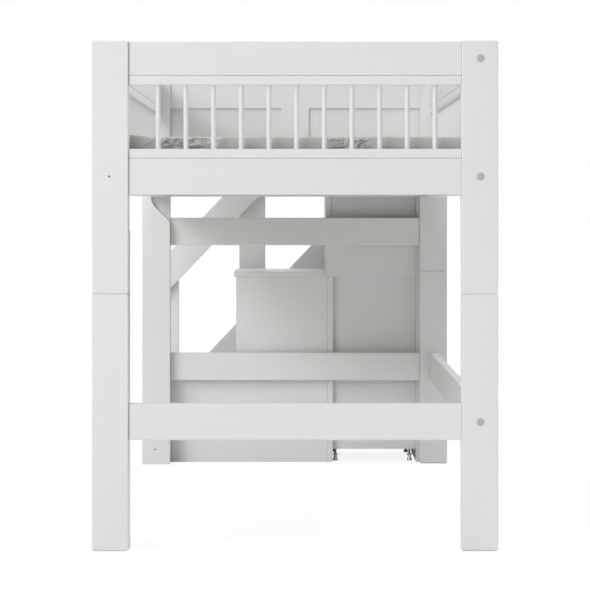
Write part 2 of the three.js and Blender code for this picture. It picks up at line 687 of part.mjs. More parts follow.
// The upper end of the handrail is cut level with the top boards of the bed
function addHandrail() {
  const left = FIRST_RISER - LOW_UPRIGHT_OUTSET;
  const level = SECOND_RISER + (TOP_BOARD_TOP - FIRST_TREAD_TOP - HANDRAIL_HEIGHT) / RAIL_SLOPE;
  const right = level + HANDRAIL_LEVEL_END;
  const outline = polygon([
    [left, railTop(left, HANDRAIL_HEIGHT) - RAIL_UPRIGHT_WIDTH],
    [right, railTop(right, HANDRAIL_HEIGHT) - RAIL_UPRIGHT_WIDTH],
    [right, TOP_BOARD_TOP],
    [level, TOP_BOARD_TOP],
    [left, railTop(left, HANDRAIL_HEIGHT)],
  ]);
  place('handrail', uprightPanel(outline, RAIL_NEAR, RAIL_FAR), FRAME_WHITE);
}

// An upright stands on the floor outside the rails, its head cut to their slope
function addUpright(name, left) {
  const right = left + POST_WIDTH;
  const outline = polygon([
    [left, 0], [right, 0],
    [right, railTop(right, HANDRAIL_HEIGHT) - UPRIGHT_DROP],
    [left, railTop(left, HANDRAIL_HEIGHT) - UPRIGHT_DROP],
  ]);
  place(name, uprightPanel(outline, UPRIGHT_NEAR, UPRIGHT_FAR), FRAME_WHITE);
}

// The panel beside the top step rises from the lower side to the height of the bed's posts
function addLandingPanel() {
  const bottom = SECOND_TREAD_TOP - TREAD_THICKNESS;
  const shoulder = POST_TOP - LANDING_ROUND;
  const shape = new THREE.Shape();
  shape.moveTo(THIRD_RISER, bottom);
  shape.lineTo(STAIR_RIGHT, bottom);
  shape.absarc(STAIR_RIGHT - LANDING_ROUND, shoulder, LANDING_ROUND, 0, Math.PI / 2);
  shape.absarc(THIRD_RISER + LANDING_ROUND, shoulder, LANDING_ROUND, Math.PI / 2, Math.PI);
  shape.closePath();
  place('landing_side_panel', uprightPanel(shape, STAIR_FAR - SIDE_PANEL, STAIR_FAR), PANEL_WHITE);
}

addCorner('foot', 'left', 0);
addCorner('foot', 'right', 0);
addCorner('head', 'left', HEAD_FACE);
addCorner('head', 'right', HEAD_FACE);
addFootEnd();
addLongSide('left');
addLongSide('right');
place('right_low_rail', sideBoard('right', LOW_RAIL_BOTTOM, BOARD_HEIGHT), FRAME_WHITE);
addBraces();
addHeadEnd();
addSlattedBase();
addMattress();
addStairWalls();
addTreads();
addTallUnit();
addFeet();
addDrawers();
addKickBoard();
addHandrail();
addUpright('stair_upright_1', FIRST_RISER - LOW_UPRIGHT_OUTSET);
addUpright('stair_upright_2', SECOND_RISER + HIGH_UPRIGHT_INSET);
addLandingPanel();

// The origin is the middle of the whole footprint, on the floor
bed.position.y = -UPRIGHT_FAR / 2;

export default bed;
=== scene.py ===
"""Dresses a white mid sleeper bed and its storage stairs, and sets it in a plain studio.

Lengths are metres in the bed's own frame: +X across it, +Y from the foot end to the stairs, +Z up.
"""

from __future__ import annotations

import json
import logging
import math
from dataclasses import dataclass, field
from enum import Enum

import bpy
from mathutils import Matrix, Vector, noise

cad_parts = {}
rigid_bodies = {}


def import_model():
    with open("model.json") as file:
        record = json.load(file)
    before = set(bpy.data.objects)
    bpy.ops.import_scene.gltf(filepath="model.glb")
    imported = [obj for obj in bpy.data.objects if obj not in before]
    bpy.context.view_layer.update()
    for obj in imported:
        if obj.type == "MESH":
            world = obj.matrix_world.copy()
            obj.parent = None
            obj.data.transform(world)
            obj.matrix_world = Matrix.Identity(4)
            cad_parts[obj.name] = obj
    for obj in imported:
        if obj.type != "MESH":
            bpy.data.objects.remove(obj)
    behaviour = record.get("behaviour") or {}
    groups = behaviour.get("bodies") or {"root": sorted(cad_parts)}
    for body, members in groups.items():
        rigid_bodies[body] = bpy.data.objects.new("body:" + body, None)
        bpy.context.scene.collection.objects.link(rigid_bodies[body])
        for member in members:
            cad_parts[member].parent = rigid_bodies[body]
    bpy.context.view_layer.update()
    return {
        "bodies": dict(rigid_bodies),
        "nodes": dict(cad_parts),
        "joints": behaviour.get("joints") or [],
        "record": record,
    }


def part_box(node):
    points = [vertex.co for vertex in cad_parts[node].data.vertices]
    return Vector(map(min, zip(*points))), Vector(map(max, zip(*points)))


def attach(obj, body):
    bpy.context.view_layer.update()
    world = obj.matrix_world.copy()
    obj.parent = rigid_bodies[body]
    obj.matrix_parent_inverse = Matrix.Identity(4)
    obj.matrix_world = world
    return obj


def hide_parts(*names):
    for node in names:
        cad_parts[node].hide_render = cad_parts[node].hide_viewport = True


LOG = logging.getLogger("bed")
MILLIMETRE = 0.001
WELD = 0.01 * MILLIMETRE
TOLERANCE = 0.1 * MILLIMETRE
SMOOTH_ANGLE = math.radians(35)
SHARP_ANGLE = math.radians(40)
FLAT_ANGLE = math.radians(1)
WAVES_PER_SCALE = 3.2
FRAME_BODY = "frame"
STEP_SLOPE = math.atan2(315.5, 302.0)

Pair = tuple[float, float]
Triple = tuple[float, float, float]


class Grain(Enum):
    """The way the wood grain runs in a board."""

    ACROSS = "across"
    ALONG = "along"
    UPRIGHT = "upright"
    SLOPING = "sloping"


class Bench:
    """A new material and short ways to add and join its nodes."""

    def __init__(self, name: str) -> None:
        """Starts a material that holds one Principled shader.

        Args:
            name: The material's name.
        """
        self.material = bpy.data.materials.new(name)
        self.material.use_nodes = True
        self.nodes = self.material.node_tree.nodes
        self.shader = self.nodes["Principled BSDF"]

    def add(self, kind: str, **inputs: object) -> bpy.types.Node:
        """Adds a node and sets its input sockets.

        Args:
            kind: The node's type name, without its ShaderNode prefix.
            inputs: Values for sockets, with spaces in their names written as underscores.

        Returns:
            The new node.
        """
        node = self.nodes.new("ShaderNode" + kind)
        for key, value in inputs.items():
            node.inputs[key.replace("_", " ")].default_value = value
        return node

    def join(self, source: bpy.types.NodeSocket, target: bpy.types.NodeSocket) -> None:
        """Links two sockets.

        Args:
            source: The output socket.
            target: The input socket.
        """
        self.material.node_tree.links.new(source, target)

    def coordinates(self, scale: Triple, turn: Triple = (0, 0, 0)) -> bpy.types.NodeSocket:
        """Gives object coordinates, first turned and then stretched.

        Args:
            scale: The stretch along each axis.
            turn: The turn about each axis, in radians.

        Returns:
            The socket that holds the coordinates.
        """
        place = self.add("TexCoord")
        turned = self.add("Mapping", Rotation=turn)
        stretched = self.add("Mapping", Scale=scale)
        self.join(place.outputs["Object"], turned.inputs["Vector"])
        self.join(turned.outputs["Vector"], stretched.inputs["Vector"])
        return stretched.outputs["Vector"]

    def noise(
        self, where: bpy.types.NodeSocket, scale: float, detail: float,
    ) -> bpy.types.NodeSocket:
        """Gives fractal noise at some coordinates.

        Args:
            where: The coordinates.
            scale: The noise's scale.
            detail: How many finer layers it has.

        Returns:
            The socket that holds the noise, from 0 to 1.
        """
        cloud = self.add("TexNoise", Scale=scale, Detail=detail)
        self.join(where, cloud.inputs["Vector"])
        return cloud.outputs["Fac"]

    def multiply(
        self, value: bpy.types.NodeSocket, factor: bpy.types.NodeSocket | float,
    ) -> bpy.types.NodeSocket:
        """Multiplies a value by a number or by another value.

        Args:
            value: The value.
            factor: The number, or the other value's socket.

        Returns:
            The socket that holds the product.
        """
        product = self.add("Math")
        product.operation = "MULTIPLY"
        self.join(value, product.inputs[0])
        if isinstance(factor, float):
            product.inputs[1].default_value = factor
        else:
            self.join(factor, product.inputs[1])
        return product.outputs[0]

    def ramp(self, value: bpy.types.NodeSocket, reach: Pair) -> bpy.types.NodeSocket:
        """Spreads a value that lies near one half over a new range.

        Args:
            value: The value.
            reach: What 0.3 and 0.7 become.

        Returns:
            The socket that holds the new value.
        """
        spread = self.add("MapRange", From_Min=0.3, From_Max=0.7, To_Min=reach[0], To_Max=reach[1])
        self.join(value, spread.inputs["Value"])
        return spread.outputs["Result"]

    def tint(self, value: bpy.types.NodeSocket, stops: tuple[tuple[float, Triple], ...]) -> None:
        """Colours the shader from a value.

        Args:
            value: The value, from 0 to 1.
            stops: Places from 0 to 1 and their colours.
        """
        band = self.add("ValToRGB")
        elements = band.color_ramp.elements
        while len(elements) < len(stops):
            elements.new(0.5)
        for element, (position, colour) in zip(elements, stops):
            element.position = position
            element.color = (*colour, 1)
        self.join(value, band.inputs["Fac"])
        self.join(band.outputs["Color"], self.shader.inputs["Base Color"])

    def relief(self, layers: tuple[tuple[bpy.types.NodeSocket, float], ...]) -> None:
        """Stacks layers of bump on the shader.

        Args:
            layers: Each layer's height socket and its depth in millimetres.
        """
        below = None
        for height, depth in layers:
            bump = self.add("Bump", Strength=1.0, Distance=depth * MILLIMETRE)
            self.join(height, bump.inputs["Height"])
            if below is not None:
                self.join(below, bump.inputs["Normal"])
            below = bump.outputs["Normal"]
        self.join(below, self.shader.inputs["Normal"])


@dataclass(frozen=True)
class Lacquer:
    """Satin white lacquer on planed wood, whose grain shows as a faint relief."""

    colour: float = 0.765
    grain_pitch: float = 150.0
    grain_length: float = 3.5
    grain_depth: float = 0.05
    grain_share: float = 0.6
    cloud_scale: float = 2.2
    stipple_scale: float = 1400.0
    stipple_depth: float = 0.008
    roughness: Pair = (0.38, 0.5)

    def material(self, grain: Grain) -> bpy.types.Material:
        """Makes the lacquer for boards whose grain runs one way.

        Args:
            grain: The way that the grain runs.

        Returns:
            The material.
        """
        bench = Bench(f"lacquer_{grain.value}")
        length, pitch = self.grain_length, self.grain_pitch
        scale = {
            Grain.ACROSS: (length, pitch, pitch),
            Grain.ALONG: (pitch, length, pitch),
            Grain.UPRIGHT: (pitch, pitch, length),
            Grain.SLOPING: (length, pitch, pitch),
        }[grain]
        turn = (0, STEP_SLOPE, 0) if grain is Grain.SLOPING else (0, 0, 0)
        fibres = bench.noise(bench.coordinates(scale, turn), 1.0, 5)
        plain = bench.coordinates((1, 1, 1))
        clouds = bench.noise(plain, self.cloud_scale, 2)
        stipple = bench.noise(plain, self.stipple_scale, 2)
        both = bench.add("Math")
        both.operation = "ADD"
        bench.join(bench.multiply(fibres, self.grain_share), both.inputs[0])
        bench.join(bench.multiply(clouds, 1 - self.grain_share), both.inputs[1])
        white = self.colour
        bench.tint(both.outputs[0], (
            (0.3, (white * 0.978, white * 0.978, white * 0.972)),
            (0.7, (white * 1.012, white * 1.012, white * 1.009)),
        ))
        bench.join(bench.ramp(fibres, self.roughness), bench.shader.inputs["Roughness"])
        bench.relief(((fibres, self.grain_depth), (stipple, self.stipple_depth)))
        return bench.material


@dataclass(frozen=True)
class LacqueredBoard:
    """White lacquer rolled on smooth board, a little less even than sprayed wood."""

    colour: float = 0.755
    cloud_scale: float = 3.5
    peel_scale: float = 420.0
    peel_depth: float = 0.015
    roughness: Pair = (0.4, 0.52)

    def material(self) -> bpy.types.Material:
        """Makes the board's material."""
        bench = Bench("lacquered_board")
        plain = bench.coordinates((1, 1, 1))
        clouds = bench.noise(plain, self.cloud_scale, 3)
        peel = bench.noise(plain, self.peel_scale, 3)
        white = self.colour
        bench.tint(clouds, (
            (0.3, (white * 0.982, white * 0.981, white * 0.976)),
            (0.7, (white * 1.01, white * 1.01, white * 1.006)),
        ))
        bench.join(bench.ramp(clouds, self.roughness), bench.shader.inputs["Roughness"])
        bench.relief(((peel, self.peel_depth),))
        return bench.material


@dataclass(frozen=True)
class BarePine:
    """Planed pine without paint, with growth lines that run across the bed."""

    stretch: Triple = (2.2, 95.0, 95.0)
    ring_scale: float = 0.7
    ring_depth: float = 0.12
    fibre_scale: float = 6.0
    fibre_depth: float = 0.08
    roughness: Pair = (0.55, 0.75)

    def material(self) -> bpy.types.Material:
        """Makes the pine, its grain across the bed."""
        bench = Bench("bare_pine")
        where = bench.coordinates(self.stretch)
        rings = bench.noise(where, self.ring_scale, 6)
        fibres = bench.noise(where, self.fibre_scale, 3)
        bench.tint(rings, (
            (0.32, (0.43, 0.37, 0.27)),
            (0.5, (0.56, 0.51, 0.4)),
            (0.68, (0.63, 0.585, 0.48)),
        ))
        bench.join(bench.ramp(fibres, self.roughness), bench.shader.inputs["Roughness"])
        bench.relief(((fibres, self.fibre_depth), (rings, self.ring_depth)))
        return bench.material


@dataclass(frozen=True)
class Ticking:
    """Grey knitted mattress cover: a fine weave over soft creases, with painted shade in the crease
    hollows and painted highlight on their tops.
    """

    thread_pitch: float = 3.2
    thread_depth: float = 0.25
    shade: float = 0.455
    crease_stretch: Triple = (9.0, 9.0, 26.0)
    crease_depth: float = 1.2
    fuzz_scale: float = 700.0
    fuzz_depth: float = 0.1
    roughness: float = 0.95
    sheen: float = 0.25

    def material(self, name: str, tone: float) -> bpy.types.Material:
        """Makes the cover's cloth.

        Args:
            name: The material's name.
            tone: How much darker or lighter it is than the cover, as a factor.

        Returns:
            The material.
        """
        bench = Bench(name)
        plain = bench.coordinates((1, 1, 1))
        scale = 1 / (self.thread_pitch * MILLIMETRE * WAVES_PER_SCALE)
        threads = []
        for direction in ("X", "Y", "Z"):
            wave = bench.add("TexWave", Scale=scale, Distortion=0.6, Detail=1.0)
            wave.bands_direction = direction
            bench.join(plain, wave.inputs["Vector"])
            threads.append(wave.outputs["Fac"])
        creases = bench.noise(bench.coordinates(self.crease_stretch), 1.0, 5)
        fuzz = bench.noise(plain, self.fuzz_scale, 3)
        shade = self.shade * tone
        # Painted shade and highlight: the cover is painted darker where the crease noise sinks and
        # lighter where it rises, following the creases' bump.
        bench.tint(creases, (
            (0.3, (shade * 0.96, shade * 0.96, shade * 0.915)),
            (0.5, (shade, shade, shade * 0.955)),
            (0.72, (shade * 1.04, shade * 1.04, shade * 0.995)),
        ))
        bench.shader.inputs["Roughness"].default_value = self.roughness
        bench.shader.inputs["Sheen Weight"].default_value = self.sheen
        weave = tuple((thread, self.thread_depth) for thread in threads)
        bench.relief(((creases, self.crease_depth), *weave, (fuzz, self.fuzz_depth)))
        return bench.material


@dataclass(frozen=True)
class Zinc:
    """Zinc plated steel with fine scratches and dulled patches."""

    patch_scale: float = 260.0
    scratch_stretch: Triple = (2600.0, 2600.0, 240.0)
    scratch_depth: float = 0.02
    smoother: float = 0.08
    rougher: float = 0.1

    def material(self, name: str, shade: float, roughness: float) -> bpy.types.Material:
        """Makes the plated steel.

        Args:
            name: The material's name.
            shade: How light the metal is.
            roughness: Its middle roughness.

        Returns:
            The material.
        """
        bench = Bench(name)
        bench.shader.inputs["Metallic"].default_value = 1.0
        patches = bench.noise(bench.coordinates((1, 1, 1)), self.patch_scale, 4)
        scratches = bench.noise(bench.coordinates(self.scratch_stretch), 1.0, 2)
        bench.tint(patches, (
            (0.3, (shade * 0.85, shade * 0.86, shade * 0.88)),
            (0.7, (shade * 1.1, shade * 1.1, shade * 1.1)),
        ))
        rough = bench.ramp(patches, (roughness - self.smoother, roughness + self.rougher))
        bench.join(rough, bench.shader.inputs["Roughness"])
        bench.relief(((scratches, self.scratch_depth),))
        return bench.material


@dataclass
class Finishes:
    """Every finish on the bed, each made once."""

    lacquer: dict[Grain, bpy.types.Material] = field(default_factory=dict)
    board: bpy.types.Material | None = None
    pine: bpy.types.Material | None = None
    cover: bpy.types.Material | None = None
    webbing: bpy.types.Material | None = None
    zinc: bpy.types.Material | None = None
    bolt: bpy.types.Material | None = None

    def make(self) -> Finishes:
        """Makes the materials and gives itself back."""
        for grain in Grain:
            self.lacquer[grain] = Lacquer().material(grain)
        self.board = LacqueredBoard().material()
        self.pine = BarePine().material()
        self.cover = Ticking().material("mattress_cover", 1.0)
        self.webbing = Ticking(thread_pitch=1.6).material("webbing", 0.7)
        self.zinc = Zinc().material("zinc_foot", 0.46, 0.36)
        self.bolt = Zinc().material("bolt_head", 0.47, 0.42)
        return self


def edit(piece: bpy.types.Object, pick: str = "VERT") -> None:
    """Opens a piece in edit mode.

    Args:
        piece: The piece.
        pick: What is picked there, VERT or FACE.
    """
    select_only(piece)
    bpy.ops.object.mode_set(mode="EDIT")
    bpy.ops.mesh.select_mode(type=pick)


def select_only(*objects: bpy.types.Object) -> None:
    """Selects some objects, makes the first one active and deselects the rest."""
    if bpy.context.mode != "OBJECT":
        bpy.ops.object.mode_set(mode="OBJECT")
    bpy.ops.object.select_all(action="DESELECT")
    for piece in objects:
        piece.select_set(True)
    bpy.context.view_layer.objects.active = objects[0]


def clear_selection() -> None:
    """Deselects every object, so that an operator touches only what it adds."""
    bpy.ops.object.select_all(action="DESELECT")


def settle(piece: bpy.types.Object, name: str, material: bpy.types.Material) -> bpy.types.Object:
    """Names a finished piece, puts its place into its mesh and paints it.

    Args:
        piece: The piece.
        name: Its name.
        material: Its finish.

    Returns:
        The same piece.
    """
    select_only(piece)
    bpy.ops.object.transform_apply(location=True, rotation=True, scale=True)
    bpy.ops.object.shade_smooth_by_angle(angle=SMOOTH_ANGLE)
    flat = piece.modifiers.new("flat", "WEIGHTED_NORMAL")
    flat.keep_sharp = True
    bpy.ops.object.modifier_apply(modifier=flat.name)
    piece.name = name
    piece.data.name = name
    piece.data.materials.clear()
    piece.data.materials.append(material)
    return piece


def apply_all(piece: bpy.types.Object) -> None:
    """Applies each modifier of a piece in order."""
    select_only(piece)
    for modifier in list(piece.modifiers):
        bpy.ops.object.modifier_apply(modifier=modifier.name)


def ease_edges(piece: bpy.types.Object, width: float, segments: int = 2) -> None:
    """Rounds the sharp edges of a piece.

    Args:
        piece: The piece.
        width: The rounding's width.
        segments: Its number of facets.
    """
    bevel = piece.modifiers.new("eased", "BEVEL")
    bevel.width = width
    bevel.segments = segments
    bevel.limit_method = "ANGLE"
    bevel.angle_limit = SHARP_ANGLE
    apply_all(piece)


def solid_bar(low: Vector, high: Vector, round_edge: float) -> bpy.types.Object:
    """Makes a square bar between two corners, with all its edges rounded.

    Args:
        low: The lowest corner.
        high: The highest corner.
        round_edge: The radius of its edges.

    Returns:
        The bar.
    """
    clear_selection()
    bpy.ops.mesh.primitive_cube_add(size=1, location=(low + high) / 2, scale=high - low)
    bar = bpy.context.object
    bpy.ops.object.transform_apply(location=False, rotation=False, scale=True)
    bpy.ops.object.mode_set(mode="EDIT")
    bpy.ops.mesh.bevel(offset=round_edge, segments=3, affect="EDGES")
    bpy.ops.object.mode_set(mode="OBJECT")
    return bar


@dataclass
class Joinery:
    """The planed and panelled pieces, each taken from its solid and given eased edges."""

    finishes: Finishes
    nodes: dict[str, bpy.types.Object]
    bodies: dict[str, str]
    board_ease: float = 1.6 * MILLIMETRE
    panel_ease: float = 0.9 * MILLIMETRE
    end_chamfer: float = 4.0 * MILLIMETRE
    joint_chamfer: float = 2.2 * MILLIMETRE

    def grain_of(self, node: str) -> Grain:
        """Gives the way that the grain runs in a node."""
        if node in ("handrail", "kick_board"):
            return Grain.SLOPING
        if node.endswith(("_post", "_leg", "_brace")) or node.startswith("stair_upright"):
            return Grain.UPRIGHT
        if node.startswith(("left_", "right_")):
            return Grain.ALONG
        return Grain.ACROSS

    def is_panel(self, node: str) -> bool:
        """Says whether a node is of smooth board instead of planed wood."""
        board = (
            "tread", "drawer", "cupboard", "landing", "stair",
            "head_left_panel", "head_right_panel",
        )
        return node.startswith(board) and not node.startswith("stair_upright")

    def chamfer_ends(self, piece: bpy.types.Object, node: str) -> None:
        """Chamfers both ends of a post or leg, the open end more than the one at their joint.

        Args:
            piece: The merged copy of the node.
            node: The node's name.
        """
        low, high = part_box(node)
        middle = (low + high) / 2
        post = node.endswith("_post")
        for end, inward, is_open in ((high.z, -1, post), (low.z, 1, not post)):
            depth = self.end_chamfer if is_open else self.joint_chamfer
            edit(piece)
            bpy.ops.mesh.select_all(action="SELECT")
            bpy.ops.mesh.bisect(plane_co=(0, 0, end + inward * depth), plane_no=(0, 0, 1))
            bpy.ops.object.mode_set(mode="OBJECT")
            for vertex in piece.data.vertices:
                if abs(vertex.co.z - end) < TOLERANCE:
                    for axis in (0, 1):
                        vertex.co[axis] -= math.copysign(depth, vertex.co[axis] - middle[axis])

    def eased(self, node: str) -> bpy.types.Object:
        """Makes the shown piece of one solid.

        Args:
            node: The solid's node.

        Returns:
            The piece, riding with its body.
        """
        source = self.nodes[node]
        piece = bpy.data.objects.new(f"{node}_eased", source.data.copy())
        bpy.context.scene.collection.objects.link(piece)
        edit(piece)
        bpy.ops.mesh.select_all(action="SELECT")
        bpy.ops.mesh.remove_doubles(threshold=WELD)
        bpy.ops.mesh.dissolve_limited(angle_limit=FLAT_ANGLE)
        bpy.ops.object.mode_set(mode="OBJECT")
        if node.endswith(("_post", "_leg")):
            self.chamfer_ends(piece, node)
        panel = self.is_panel(node)
        ease_edges(piece, self.panel_ease if panel else self.board_ease)
        finish = self.finishes.board if panel else self.finishes.lacquer[self.grain_of(node)]
        settle(piece, f"{node}_eased", finish)
        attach(piece, self.bodies[node])
        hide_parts(node)
        LOG.info("eased %s", node)
        return piece

    def build(self) -> None:
        """Makes every eased piece."""
        apart = ("foot_guard", "left_guard", "right_guard", "mattress", "slatted_base")
        for node in sorted(self.nodes):
            if node not in apart and not node.startswith("levelling_foot"):
                self.eased(node)


@dataclass
class Bolts:
    """Six zinc plated bolts that hold the boards of the right side to their posts."""

    finishes: Finishes
    x: float = 0.466
    heights: tuple[float, ...] = (0.324, 0.940, 1.2365)
    head: float = 9.5 * MILLIMETRE
    head_height: float = 2.6 * MILLIMETRE
    sink: float = 0.4 * MILLIMETRE
    shank: float = 4.0 * MILLIMETRE
    length: float = 88 * MILLIMETRE
    arm: float = 4.6 * MILLIMETRE
    arm_width: float = 1.9 * MILLIMETRE
    recess: float = 1.7 * MILLIMETRE
    head_ease: float = 0.7 * MILLIMETRE

    def bolt(self, face: float, inward: int, height: float, name: str) -> bpy.types.Object:
        """Makes one bolt, its head let in just below the post's face.

        Args:
            face: Where the post's outer face is.
            inward: The way along Y from that face into the post, 1 or -1.
            height: The height of the bolt.
            name: Its name.

        Returns:
            The bolt.
        """
        outer = face + inward * self.sink
        clear_selection()
        bpy.ops.mesh.primitive_cylinder_add(
            vertices=48, radius=self.head, depth=self.head_height, rotation=(math.pi / 2, 0, 0),
            location=(self.x, outer + inward * self.head_height / 2, height),
        )
        bolt = bpy.context.object
        bpy.ops.object.transform_apply(location=True, rotation=True, scale=True)
        ease_edges(bolt, self.head_ease, 3)
        inner = outer + inward * self.head_height
        for facet in bolt.data.polygons:
            facet.select = abs(facet.center.y - inner) < WELD
        edit(bolt, "FACE")
        bpy.ops.mesh.inset(thickness=self.head - self.head_ease - self.shank)
        bpy.ops.mesh.extrude_region_move(
            TRANSFORM_OT_translate={"value": (0, inward * self.length, 0)},
        )
        bpy.ops.object.mode_set(mode="OBJECT")
        for wide, high in ((self.arm, self.arm_width / 2), (self.arm_width / 2, self.arm)):
            clear_selection()
            bpy.ops.mesh.primitive_cube_add(
                size=2, scale=(wide, self.recess, high), location=(self.x, outer, height),
            )
            slot = bpy.context.object
            cross = bolt.modifiers.new("cross", "BOOLEAN")
            cross.operation = "DIFFERENCE"
            cross.object = slot
            apply_all(bolt)
            bpy.data.objects.remove(slot)
        settle(bolt, name, self.finishes.bolt)
        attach(bolt, FRAME_BODY)
        return bolt

    def build(self) -> None:
        """Makes the bolts of both ends."""
        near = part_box("foot_right_post")[0].y
        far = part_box("head_right_post")[1].y
        for end, face, inward in (("foot", near, 1), ("head", far, -1)):
            for place, height in zip(("low", "side", "top"), self.heights):
                self.bolt(face, inward, height, f"{end}_{place}_bolt")
        LOG.info("bolts at both ends")


@dataclass
class SlattedBase:
    """Fourteen pine slats that two webbing straps hold at an even pitch."""

    finishes: Finishes
    node: str = "slatted_base"
    count: int = 14
    width: float = 70 * MILLIMETRE
    thickness: float = 18 * MILLIMETRE
    slat_round: float = 3 * MILLIMETRE
    strap_offset: float = 0.3
    strap_width: float = 20 * MILLIMETRE
    strap_thickness: float = 2 * MILLIMETRE
    strap_round: float = 0.6 * MILLIMETRE

    def slats(self) -> bpy.types.Object:
        """Makes one slat and copies it along the bed."""
        low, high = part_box(self.node)
        corner = Vector((high.x, low.y + self.width, low.z + self.thickness))
        first = solid_bar(low, corner, self.slat_round)
        place = first.location.copy()
        pitch = (high.y - low.y - self.width) / (self.count - 1)
        rest = []
        for index in range(1, self.count):
            slat = bpy.data.objects.new("slat", first.data.copy())
            slat.location = place + Vector((0, index * pitch, 0))
            bpy.context.scene.collection.objects.link(slat)
            rest.append(slat)
        bpy.context.view_layer.update()
        select_only(first, *rest)
        bpy.ops.object.join()
        slats = settle(bpy.context.object, "slats", self.finishes.pine)
        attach(slats, FRAME_BODY)
        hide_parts(self.node)
        return slats

    def strap(self, side: int, name: str) -> bpy.types.Object:
        """Makes one strap, stapled along the tops of the slats.

        Args:
            side: The side that it lies on, 1 or -1.
            name: Its name.

        Returns:
            The strap.
        """
        low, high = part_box(self.node)
        x = side * self.strap_offset
        base = low.z + self.thickness
        half, top = self.strap_width / 2, base + self.strap_thickness
        strap = solid_bar(
            Vector((x - half, low.y + self.strap_width, base)),
            Vector((x + half, high.y - self.strap_width, top)),
            self.strap_round,
        )
        settle(strap, name, self.finishes.webbing)
        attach(strap, FRAME_BODY)
        return strap

    def build(self) -> None:
        """Makes the slats and both straps."""
        self.slats()
        self.strap(-1, "left_slat_strap")
        self.strap(1, "right_slat_strap")
        LOG.info("slatted base with %d slats", self.count)


@dataclass
class BarredGuard:
    """A guard of round bars glued into a low and a high strip."""

    node: str
    bars: int
    finishes: Finishes
    shift: float = 0.0
    bar_radius: float = 6 * MILLIMETRE
    bar_round: float = 0.6 * MILLIMETRE
    strip_height: float = 23 * MILLIMETRE
    strip_round: float = 1.6 * MILLIMETRE
    socket: float = 9 * MILLIMETRE

    def build(self) -> bpy.types.Object:
        """Makes the guard.

        Returns:
            The guard, riding with the frame.
        """
        low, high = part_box(self.node)
        run = 0 if high.x - low.x > high.y - low.y else 1
        low_top = Vector((high.x, high.y, low.z + self.strip_height))
        high_bottom = Vector((low.x, low.y, high.z - self.strip_height))
        parts = [
            solid_bar(low, low_top, self.strip_round),
            solid_bar(high_bottom, high, self.strip_round),
        ]
        bottom = low_top.z - self.socket
        top = high_bottom.z + self.socket
        pitch = (high[run] - low[run]) / (self.bars + 1)
        start = (low + high) / 2
        start.z = (bottom + top) / 2
        start[run] = low[run] + pitch + self.shift
        clear_selection()
        bpy.ops.mesh.primitive_cylinder_add(
            vertices=28, radius=self.bar_radius, depth=top - bottom, location=start,
        )
        first = bpy.context.object
        ease_edges(first, self.bar_round, 2)
        parts.append(first)
        for index in range(1, self.bars):
            bar = bpy.data.objects.new("bar", first.data.copy())
            bar.location = start
            bar.location[run] += index * pitch
            bpy.context.scene.collection.objects.link(bar)
            parts.append(bar)
        bpy.context.view_layer.update()
        select_only(*parts)
        bpy.ops.object.join()
        grain = Grain.ACROSS if run == 0 else Grain.ALONG
        guard = settle(bpy.context.object, f"{self.node}_bars", self.finishes.lacquer[grain])
        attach(guard, FRAME_BODY)
        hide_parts(self.node)
        LOG.info("guard %s with %d bars", self.node, self.bars)
        return guard


@dataclass(frozen=True)
class Bunch:
    """A place along the foot end where the loose cover is bunched up."""

    middle: float
    reach: float
    strength: float

    def share(self, across: float) -> float:
        """Gives how strongly the cover is bunched at a place across the bed, from 0 to 1."""
        rise = min(max(1.6 * (1 - abs(across - self.middle) / self.reach), 0), 1)
        return self.strength * rise * rise * (3 - 2 * rise)


